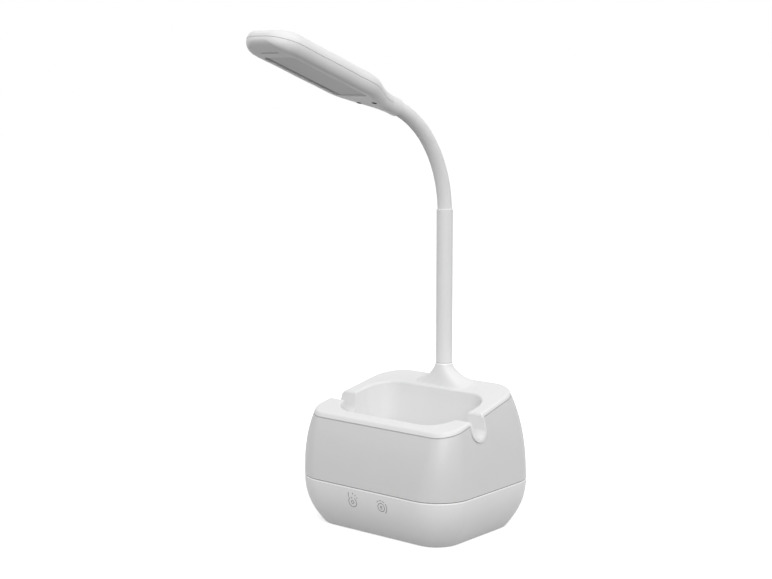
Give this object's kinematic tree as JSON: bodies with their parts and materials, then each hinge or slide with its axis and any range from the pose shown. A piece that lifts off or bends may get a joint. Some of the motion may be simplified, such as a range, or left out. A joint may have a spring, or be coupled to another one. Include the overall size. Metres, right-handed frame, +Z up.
{
  "type": "desk lamp with storage tray base",
  "caption": "Desk lamp with a flexible neck, a flat LED head, a glowing band round its base and an open storage tray with a phone slot.",
  "frame": {"origin": "on the table, under the middle of the base's widest outline", "axes": "+Z up, +X to the lamp's right seen from its front, -Y is the lamp's front, where the head reaches"},
  "size_m": [0.14, 0.2095, 0.3439],
  "materials": {
    "white_abs": "fine satin, moulded",
    "milky_diffuser": "translucent milky satin",
    "grip_rubber": "matt",
    "screw_steel": "zinc plated",
    "ballast_steel": "raw steel plate",
    "cell_can": "sleeved",
    "inner_abs": "moulded, not finished",
    "circuit_board": "solder mask",
    "white_board": "white solder mask",
    "chip_black": "moulded",
    "led_white": "clear over phosphor",
    "socket_steel": "drawn shell",
    "foam_black": "conductive foam",
    "post_paint": "white powder coat, satin",
    "hose_silicone": "smooth matt silicone",
    "core_metal": "turned links",
    "ferrule_white": "satin",
    "frame_white": "moulded reflector"
  },
  "bodies": {
    "base": {"base_bowl": "white_abs", "grip_pad": "grip_rubber", "case_screws": "screw_steel", "ballast_plate": "ballast_steel", "ballast_screws": "screw_steel", "battery_cell": "cell_can", "battery_cradle": "inner_abs", "main_board": "circuit_board", "board_components": "chip_black", "board_screws": "screw_steel", "usb_socket": "socket_steel", "touch_board": "circuit_board", "touch_pad_left": "foam_black", "touch_pad_right": "foam_black", "mid_frame": "inner_abs", "mood_ring": "circuit_board", "mood_leds": "led_white", "mood_band": "milky_diffuser", "top_tray": "white_abs", "tray_screws": "screw_steel", "neck_post": "post_paint", "post_washer": "screw_steel", "post_nut": "screw_steel", "neck_hose_root": "hose_silicone", "neck_core_root": "core_metal"},
    "neck_1": {"neck_hose_1": "hose_silicone", "neck_core_1": "core_metal"},
    "neck_2": {"neck_hose_2": "hose_silicone", "neck_core_2": "core_metal"},
    "neck_3": {"neck_hose_3": "hose_silicone", "neck_core_3": "core_metal"},
    "neck_4": {"neck_hose_4": "hose_silicone", "neck_core_4": "core_metal"},
    "neck_5": {"neck_hose_5": "hose_silicone", "neck_core_5": "core_metal"},
    "neck_6": {"neck_hose_6": "hose_silicone", "neck_core_6": "core_metal"},
    "head": {"neck_hose_head": "hose_silicone", "neck_core_head": "core_metal", "head_ferrule": "ferrule_white", "head_lower_shell": "white_abs", "head_top_cover": "white_abs", "head_screws": "screw_steel", "head_lens": "milky_diffuser", "light_frame": "frame_white", "led_board": "white_board", "head_leds": "led_white"}
  },
  "joints": [
    {"name": "neck_pitch_1", "type": "hinge", "parent": "base", "child": "neck_1", "pos_m": [0, 0.0325, 0.22896], "axis": [1, 0, 0], "range_deg": [-20, 20]},
    {"name": "neck_sway_1", "type": "hinge", "parent": "neck_1", "child": "neck_2", "pos_m": [0, 0.02967, 0.2424], "axis": [0, 0.9571, 0.2899], "range_deg": [-22, 22]},
    {"name": "neck_pitch_2", "type": "hinge", "parent": "neck_2", "child": "neck_3", "pos_m": [0, 0.02457, 0.25515], "axis": [1, 0, 0], "range_deg": [-20, 20]},
    {"name": "neck_sway_2", "type": "hinge", "parent": "neck_3", "child": "neck_4", "pos_m": [0, 0.01737, 0.26685], "axis": [0, 0.8033, 0.5955], "range_deg": [-22, 22]},
    {"name": "neck_pitch_3", "type": "hinge", "parent": "neck_4", "child": "neck_5", "pos_m": [0, 0.00827, 0.27714], "axis": [1, 0, 0], "range_deg": [-20, 20]},
    {"name": "neck_sway_3", "type": "hinge", "parent": "neck_5", "child": "neck_6", "pos_m": [0, -0.00245, 0.28572], "axis": [0, 0.5556, 0.8315], "range_deg": [-22, 22]},
    {"name": "neck_pitch_4", "type": "hinge", "parent": "neck_6", "child": "head", "pos_m": [0, -0.01449, 0.29235], "axis": [1, 0, 0], "range_deg": [-20, 20]}
  ]
}
